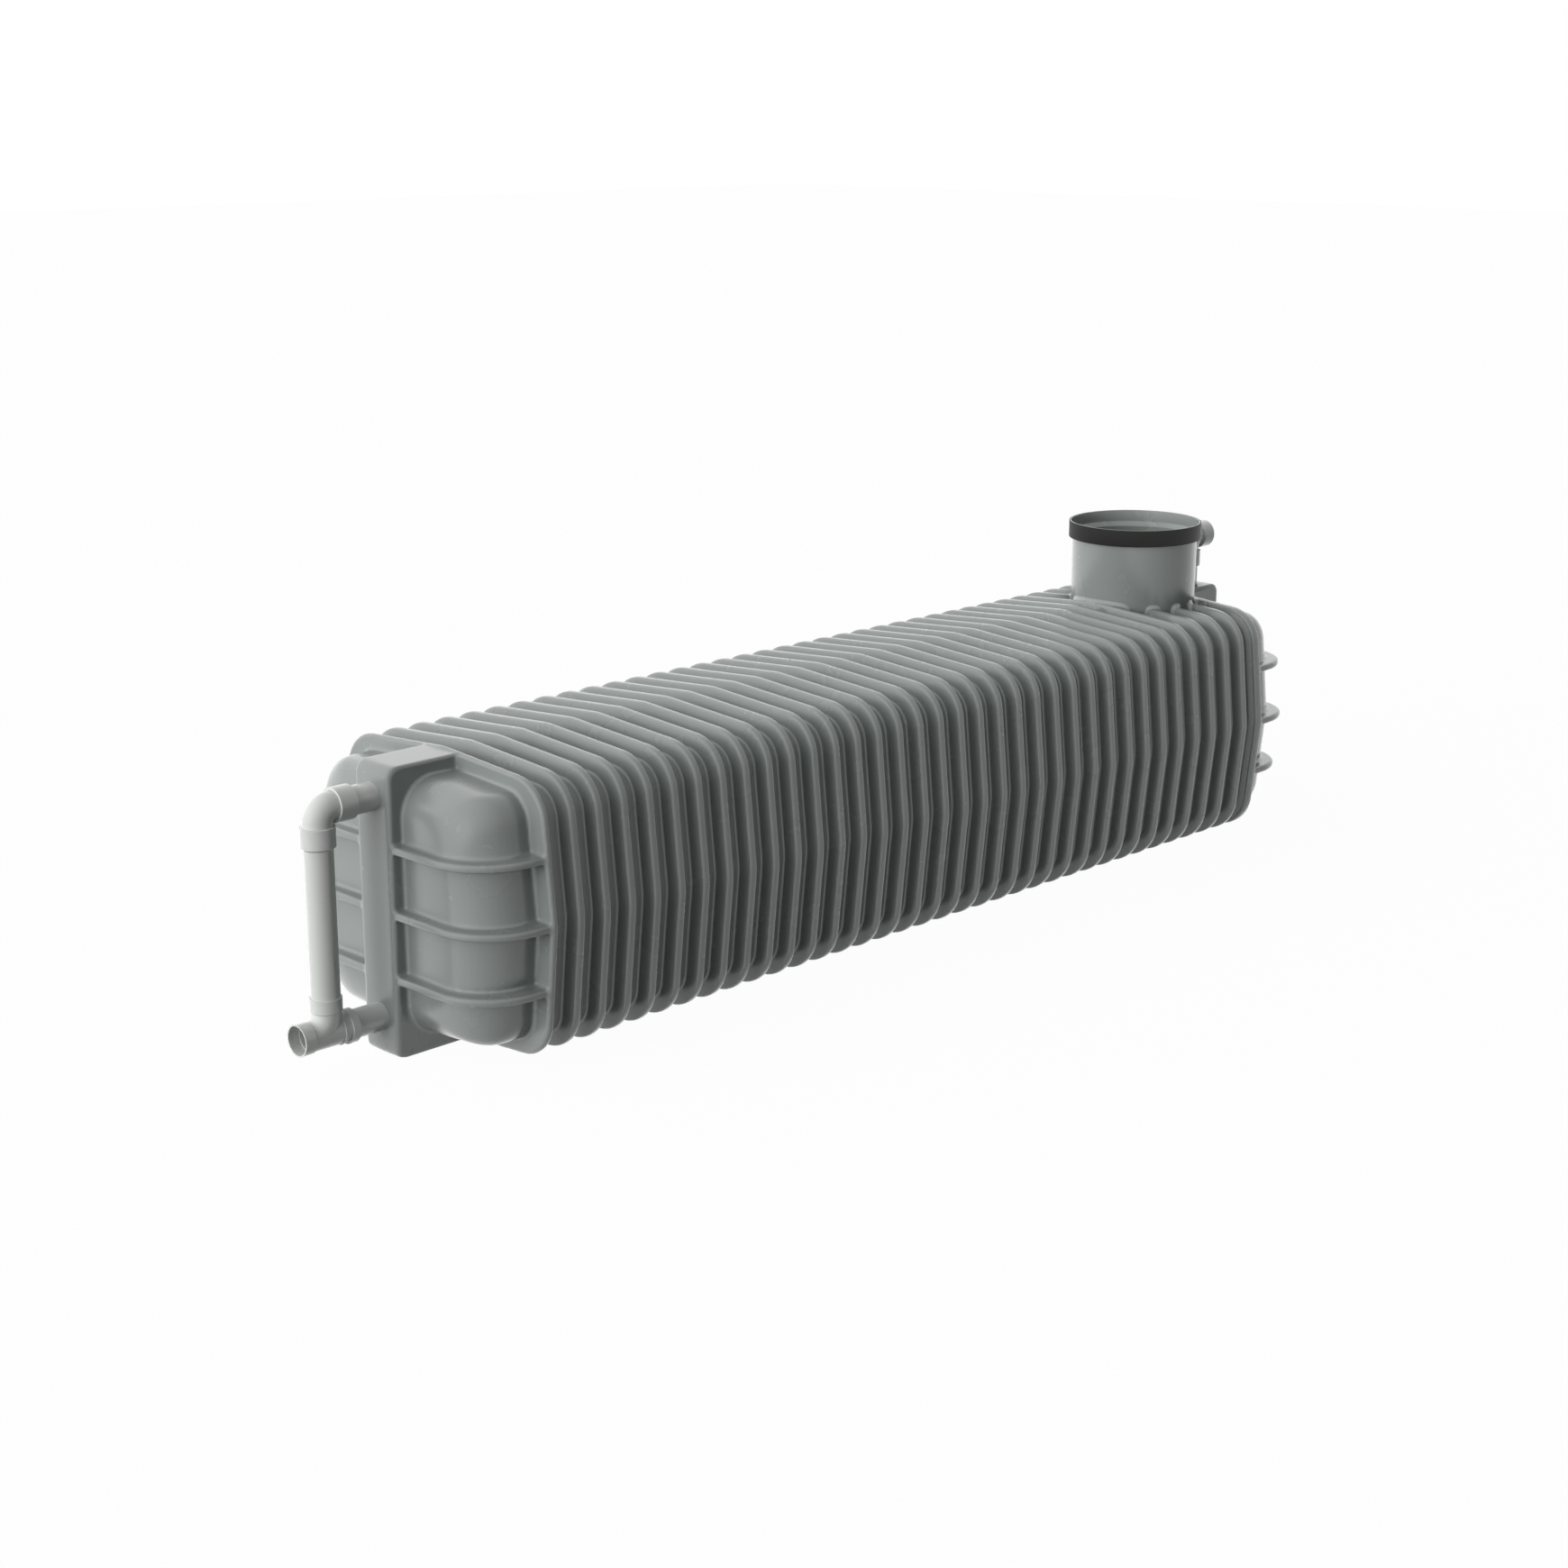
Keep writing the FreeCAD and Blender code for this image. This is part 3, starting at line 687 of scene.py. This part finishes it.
def skinned(context, name, bm, place, bored):
    """One moulded skin from a head's closed shells, open towards the hull and with an even wall."""
    form, head = context.scene.tank_hull, context.scene.tank_head
    bmesh.ops.recalc_face_normals(bm, faces=bm.faces)
    piece = finished(name, bm, "tank plastic", "tank_body")
    remesh = piece.modifiers.new("skin", "REMESH")
    remesh.mode = "VOXEL"
    remesh.voxel_size = head.voxel
    remesh.use_smooth_shade = True
    settle(context, piece)
    smooth_and_place(piece, place)
    if bored:
        open_under_neck(context, piece)
    triangles = open_to_hull(context, piece, place[0][0], bored)
    fewer = piece.modifiers.new("fewer faces", "DECIMATE")
    fewer.ratio = min(1.0, head.skin_faces / triangles)
    wall = piece.modifiers.new("wall", "SOLIDIFY")
    wall.thickness = form.wall
    wall.offset = -1.0
    settle(context, piece)


def smooth_and_place(piece, place):
    """Takes the grid's steps out of a head's skin and moves it to its place."""
    skin = bmesh.new()
    skin.from_mesh(piece.data)
    for _ in range(SMOOTH_PASSES):
        bmesh.ops.smooth_vert(
            skin, verts=skin.verts, factor=0.5, use_axis_x=True, use_axis_y=True, use_axis_z=True,
        )
    bmesh.ops.transform(skin, matrix=place, verts=skin.verts)
    bmesh.ops.recalc_face_normals(skin, faces=skin.faces)
    skin.to_mesh(piece.data)
    skin.free()


def open_to_hull(context, piece, way, bored):
    """Takes away a head's back and what the bore left in it, and gives the number of triangles that stay."""
    skin = bmesh.new()
    skin.from_mesh(piece.data)
    inner_faces = back_faces(skin, way)
    if bored:
        inner_faces |= bore_faces(context, skin)
    bmesh.ops.delete(skin, geom=list(inner_faces), context="FACES")
    triangles = sum(len(f.verts) - 2 for f in skin.faces)
    skin.to_mesh(piece.data)
    skin.free()
    return triangles


def back_faces(skin, way):
    """The flat back of a head towards the hull, without a margin behind the flange."""
    back = max(v.co.x * way for v in skin.verts) - BACK_MARGIN
    skin.normal_update()
    flat = {
        f for f in skin.faces
        if f.normal.x * way > STRAIGHT_BACK and f.calc_center_median().x * way > back
    }
    for _ in range(2):
        flat = {f for f in flat if all(n in flat for e in f.edges for n in e.link_faces)}
    return flat


def bore_faces(context, skin):
    """The faces that the neck's bore left inside a head."""
    axis, reach = neck_axis_x(context), bore_radius(context) + BORE_MARGIN
    return {f for f in skin.faces if all(math.hypot(v.co.x - axis, v.co.y) < reach for v in f.verts)}


class TANK_OT_neck(bpy.types.Operator):
    """Turn the access neck with its collar and the sealing ring, and round off the neck's foot"""

    bl_idname = "tank.neck"
    bl_label = "Access neck"

    def execute(self, context):
        neck = context.scene.tank_neck
        axis = Matrix.Translation((neck_axis_x(context), 0, 0))
        finished("access_neck", lathed(neck_path(neck), axis), "tank plastic", "tank_body")
        ring = lathed(ring_path(neck), axis)
        finished("sealing_ring", ring, "ring rubber", "neck_sealing_ring")
        bm = bmesh.new()
        bridge_ends(bm, lofted(bm, fillet_rings(context)))
        finished("neck_fillet", bm, "tank plastic", "tank_body")
        return {"FINISHED"}


def neck_path(neck):
    """(radius, height) round the section of the neck, which widens to a thin collar."""
    outer = neck.diameter / 2
    inner = outer - neck.wall
    wide = outer + neck.collar_step
    thin = wide - neck.collar_wall
    slope = neck.top - neck.collar_height
    step = slope + neck.collar_slope
    corners = [
        Vector((inner, neck.root)), Vector((outer, neck.root)), Vector((outer, slope)), Vector((wide, step)),
        Vector((wide, neck.top)), Vector((thin, neck.top)), Vector((thin, step)), Vector((inner, slope)),
    ]
    foot, bend, rim_outside, rim_inside = 0.002, 0.006, 0.0015, 0.0020
    radii = [foot, foot, bend, bend, rim_outside, rim_inside, bend, bend]
    return rounded_path(corners, radii, [FINE_STEPS] * 2 + [EDGE_STEPS] * 6, True)


def ring_path(neck):
    """(radius, height) round the section of the black ring."""
    near = neck.diameter / 2 + neck.collar_step + neck.ring_gap
    far = near + neck.ring_thickness
    high = neck.top - neck.ring_gap
    low = high - neck.ring_height
    corners = [Vector((near, low)), Vector((far, low)), Vector((far, high)), Vector((near, high))]
    inside, outside = 0.0008, 0.0012
    steps = [FINE_STEPS, EDGE_STEPS, EDGE_STEPS, FINE_STEPS]
    return rounded_path(corners, [inside, outside, outside, inside], steps, True)


def fillet_rings(context):
    """Rings from under the roof over its top and up to the neck's wall, as a rolling ball leaves them."""
    neck = context.scene.tank_neck
    ball, radius = neck.fillet, neck.diameter / 2
    turns = np.arange(FILLET_TURNS) * (2 * math.pi / FILLET_TURNS)
    centres = radius + ball + ball / BALL_STEPS * np.arange(BALL_PLACES)
    resting = resting_heights(context, ball, centres, turns)

    arc_steps, fade_from, fade_to = 8, 1.5, 3.0
    over = [ball * (1 - math.cos(math.pi / 2 * k / arc_steps)) for k in range(arc_steps + 1)]
    over += [ball * share for share in (1.25, fade_from, 2.0, 2.5, fade_to)]
    rings = []
    for out in over:
        here = radius + out
        roof = roof_heights(context, np.full(FILLET_TURNS, here), turns)
        rise = np.maximum(rolled_heights(resting, centres, ball, here) - roof, 0.0)
        fade = min(max((fade_to - out / ball) / (fade_to - fade_from), 0.0), 1.0)
        rings.append((here, roof + rise * fade - FILLET_SINK))
    inside, top = radius - neck.wall / 2, rings[0][1]
    rings[0] = (radius - FILLET_TUCK, top)
    under = [
        (here, roof_heights(context, np.full(FILLET_TURNS, here), turns) - neck.wall / 2)
        for here in (radius + fade_to * ball, radius + ball, inside)
    ]
    axis = neck_axis_x(context)
    return [
        [Vector((axis + here * math.cos(t), here * math.sin(t), z)) for t, z in zip(turns, heights)]
        for here, heights in [*under, (inside, top), *rings]
    ]


def resting_heights(context, ball, centres, turns):
    """Heights of a ball's middle where it rests on the roof, at distances and turns round the neck's axis."""
    step, below_all = ball / BALL_STEPS, -1.0
    span = range(-BALL_STEPS, BALL_STEPS + 1)
    places = [(step * i, step * j) for i in span for j in span if math.hypot(i, j) <= BALL_STEPS]
    resting = np.full((len(centres), len(turns)), below_all)
    reach, turn = np.meshgrid(centres, turns, indexing="ij")
    for along, across in places:
        low = math.sqrt(max(ball ** 2 - along ** 2 - across ** 2, 0.0))
        resting = np.maximum(resting, roof_heights(context, reach + along, turn + across / reach) + low)
    return resting


def rolled_heights(resting, centres, ball, here):
    """How high the rolling ball leaves the surface all round, at one distance from the neck's axis."""
    above_all, slack = 9.0, 1.0001  # metres, and a share that lets a ball that just touches count
    height = np.full(FILLET_TURNS, above_all)
    for k, centre in enumerate(centres):
        for shift in range(-BALL_TURNS, BALL_TURNS + 1):
            away = math.hypot(centre - here, shift * 2 * math.pi / FILLET_TURNS * here)
            if away <= ball * slack:
                under = np.roll(resting[k], -shift) - math.sqrt(max(ball ** 2 - away ** 2, 0.0))
                height = np.minimum(height, under)
    return height


def roof_heights(context, reach, turn):
    """Heights of the body's upper surface at distances and turns round the neck's axis."""
    form, head = context.scene.tank_hull, context.scene.tank_head
    profile = roof_profile(context)
    x, y = neck_axis_x(context) + reach * np.cos(turn), reach * np.sin(turn)
    inset = np.interp(x, [p[0] for p in profile], [p[1] for p in profile])
    slope = math.atan2(form.height - form.eaves_height, form.eaves_width)
    soft = form.ridge_radius - inset
    ridge = form.height - inset / math.cos(slope)
    crown = ridge - soft / math.cos(slope) + np.sqrt(np.maximum(soft ** 2 - y ** 2, 0.0))
    height = np.where(np.abs(y) < soft * math.sin(slope), crown, ridge - np.abs(y) * math.tan(slope))
    spine = (x > profile[-1][0] - form.far_flange) & (np.abs(y) < head.spine_width / 2)
    return np.where(spine, np.maximum(height, form.height - head.spine_drop), height)


def roof_profile(context):
    """(x, inset) along the roof past the far flange and on to the pillow's top."""
    form, head = context.scene.tank_hull, context.scene.tank_head
    near_x = near_face_x(context)
    start = far_flange_start(form, near_x)
    end = start + form.far_flange
    path = [p for p in rib_stations(form, near_x) if p.x < start - HAIR]
    last = [
        path[-1], Vector((start, 0.0)), Vector((end, 0.0)),
        Vector((end + PILLOW_STEEPNESS, head.pillow_top)), Vector((end + form.far_flange, head.pillow_top)),
    ]
    radii = [0.0, form.crest_rounding, form.crest_rounding, form.valley_rounding, 0.0]
    return path[:-1] + rounded_path(last, radii, [EDGE_STEPS] * len(last), False)


class TANK_OT_pipework(bpy.types.Operator):
    """Give the pipes, the fittings, the seals and the grommets their finish"""

    bl_idname = "tank.pipework"
    bl_label = "Pipework and rubber"

    def execute(self, context):
        for names, material in ((PIPE_NODES, "pipe plastic"), (RUBBER_NODES, "ring rubber")):
            for name in names:
                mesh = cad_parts[name].data
                for k in range(len(mesh.materials)):
                    mesh.materials[k] = bpy.data.materials[material]
        return {"FINISHED"}


class TANK_OT_stage(bpy.types.Operator):
    """Lay the floor and set the light and the camera"""

    bl_idname = "tank.stage"
    bl_label = "Floor, light and camera"

    def execute(self, context):
        light = context.scene.tank_light
        context.scene.view_settings.view_transform = "Standard"
        bm = bmesh.new()
        bmesh.ops.create_grid(bm, x_segments=1, y_segments=1, size=FLOOR_REACH)
        mesh = bpy.data.meshes.new("floor")
        bm.to_mesh(mesh)
        bm.free()
        floor = bpy.data.objects.new("floor", mesh)
        context.scene.collection.objects.link(floor)
        mesh.materials.append(floor_material(light))
        soft_sky(context, light)
        photo_camera(context)
        return {"FINISHED"}


def floor_material(light):
    """White to the camera with a faint shadow, bright in reflections, darker for the light it throws back."""
    material = bpy.data.materials.new("floor white")
    material.use_nodes = True
    nodes, links = material.node_tree.nodes, material.node_tree.links
    shader = nodes["Principled BSDF"]
    shader.inputs["Base Color"].default_value = (light.bounce, light.bounce, light.bounce, 1.0)
    shader.inputs["Roughness"].default_value = 1.0
    shader.inputs["Specular IOR Level"].default_value = 0.0
    pale = nodes.new("ShaderNodeBsdfDiffuse")
    pale.inputs["Color"].default_value = (0.9, 0.9, 0.9, 1.0)
    white = nodes.new("ShaderNodeEmission")
    white.inputs["Strength"].default_value = 1.0
    seen = nodes.new("ShaderNodeMixShader")
    seen.inputs["Fac"].default_value = FLOOR_GLOW
    links.new(pale.outputs["BSDF"], seen.inputs[1])
    links.new(white.outputs["Emission"], seen.inputs[2])
    shine = nodes.new("ShaderNodeEmission")
    shine.inputs["Strength"].default_value = light.shine * FLOOR_SHINE
    shown = by_ray(nodes, links, shader.outputs["BSDF"], "Is Glossy Ray", shine.outputs["Emission"])
    shown = by_ray(nodes, links, shown, "Is Camera Ray", seen.outputs["Shader"])
    links.new(shown, nodes["Material Output"].inputs["Surface"])
    return material


def soft_sky(context, light):
    """A sky with two brighter parts, plain white to the camera and evenly bright in reflections."""
    world = bpy.data.worlds.new("soft sky")
    context.scene.world = world
    world.use_nodes = True
    nodes, links = world.node_tree.nodes, world.node_tree.links
    sky = nodes["Background"]
    sky.inputs["Color"].default_value = (1.0, 0.99, 0.975, 1.0)
    glow = bright_part(nodes, links, light.glow_from, light.glow_focus, light.glow)
    front = bright_part(nodes, links, light.front_from, light.front_focus, light.front)
    plain = stepped(nodes, links, glow, "ADD", light.sky)
    links.new(summed(nodes, links, plain, front), sky.inputs["Strength"])
    shown = sky.outputs["Background"]
    for kind, strength in (("Is Glossy Ray", light.shine), ("Is Camera Ray", 1.0)):
        white = nodes.new("ShaderNodeBackground")
        white.inputs["Strength"].default_value = strength
        white.inputs["Color"].default_value = (1.0, 1.0, 1.0, 1.0)
        shown = by_ray(nodes, links, shown, kind, white.outputs["Background"])
    links.new(shown, nodes["World Output"].inputs["Surface"])


def by_ray(nodes, links, shown, kind, look):
    """What is shown, with another look for one kind of ray."""
    mix = nodes.new("ShaderNodeMixShader")
    links.new(nodes.new("ShaderNodeLightPath").outputs[kind], mix.inputs["Fac"])
    links.new(shown, mix.inputs[1])
    links.new(look, mix.inputs[2])
    return mix.outputs["Shader"]


def bright_part(nodes, links, towards, focus, strength):
    """A part of the sky that fades out evenly round a direction."""
    place = nodes.new("ShaderNodeTexCoord")
    facing = nodes.new("ShaderNodeVectorMath")
    facing.operation = "DOT_PRODUCT"
    facing.inputs[1].default_value = towards
    links.new(place.outputs["Generated"], facing.inputs[0])
    value = facing.outputs["Value"]
    for operation, amount in (("MAXIMUM", 0.0), ("POWER", focus), ("MULTIPLY", strength)):
        value = stepped(nodes, links, value, operation, amount)
    return value


def stepped(nodes, links, value, operation, amount):
    """The value after one step of arithmetic."""
    step = nodes.new("ShaderNodeMath")
    step.operation = operation
    step.inputs[1].default_value = amount
    links.new(value, step.inputs[0])
    return step.outputs["Value"]


def photo_camera(context):
    """The photograph's view: from before the near head, on the hull's -Y side, a little above."""
    data = bpy.data.cameras.new("camera")
    data.lens = LENS
    data.sensor_width = 36.0
    data.clip_end = 200.0
    camera = bpy.data.objects.new("camera", data)
    turn = Vector(AIM).to_track_quat("-Z", "Y")
    camera.matrix_world = Matrix.Translation(EYE) @ turn.to_matrix().to_4x4()
    context.scene.collection.objects.link(camera)
    context.scene.camera = camera


class TANK_PT_panel(bpy.types.Panel):
    """Sizes, colours and build steps"""

    bl_label = "Water Tank"
    bl_idname = "TANK_PT_panel"
    bl_space_type = "VIEW_3D"
    bl_region_type = "UI"
    bl_category = "Water Tank"

    def draw(self, context):
        for group in GROUPS:
            box = self.layout.box()
            settings = getattr(context.scene, group)
            for name in settings.__annotations__:
                box.prop(settings, name)
        for operator in OPERATORS:
            self.layout.operator(operator.bl_idname)


GROUPS = {
    "tank_hull": HullForm,
    "tank_head": HeadForm,
    "tank_neck": NeckForm,
    "tank_finish": TankFinish,
    "tank_light": StudioLight,
}
OPERATORS = [
    TANK_OT_materials, TANK_OT_hull, TANK_OT_heads, TANK_OT_neck, TANK_OT_pipework, TANK_OT_stage,
]


def register():
    """Makes the settings, the operators and the panel known."""
    for name, group in GROUPS.items():
        bpy.utils.register_class(group)
        setattr(bpy.types.Scene, name, PointerProperty(type=group))
    for operator in OPERATORS:
        bpy.utils.register_class(operator)
    bpy.utils.register_class(TANK_PT_panel)


def unregister():
    """Takes them away again."""
    bpy.utils.unregister_class(TANK_PT_panel)
    for operator in reversed(OPERATORS):
        bpy.utils.unregister_class(operator)
    for name, group in reversed(list(GROUPS.items())):
        delattr(bpy.types.Scene, name)
        bpy.utils.unregister_class(group)


def main():
    """Builds every piece in order."""
    register()
    bpy.ops.tank.materials()
    bpy.ops.tank.hull()
    bpy.ops.tank.heads()
    bpy.ops.tank.neck()
    bpy.ops.tank.pipework()
    bpy.ops.tank.stage()


if __name__ == "__main__":
    main()
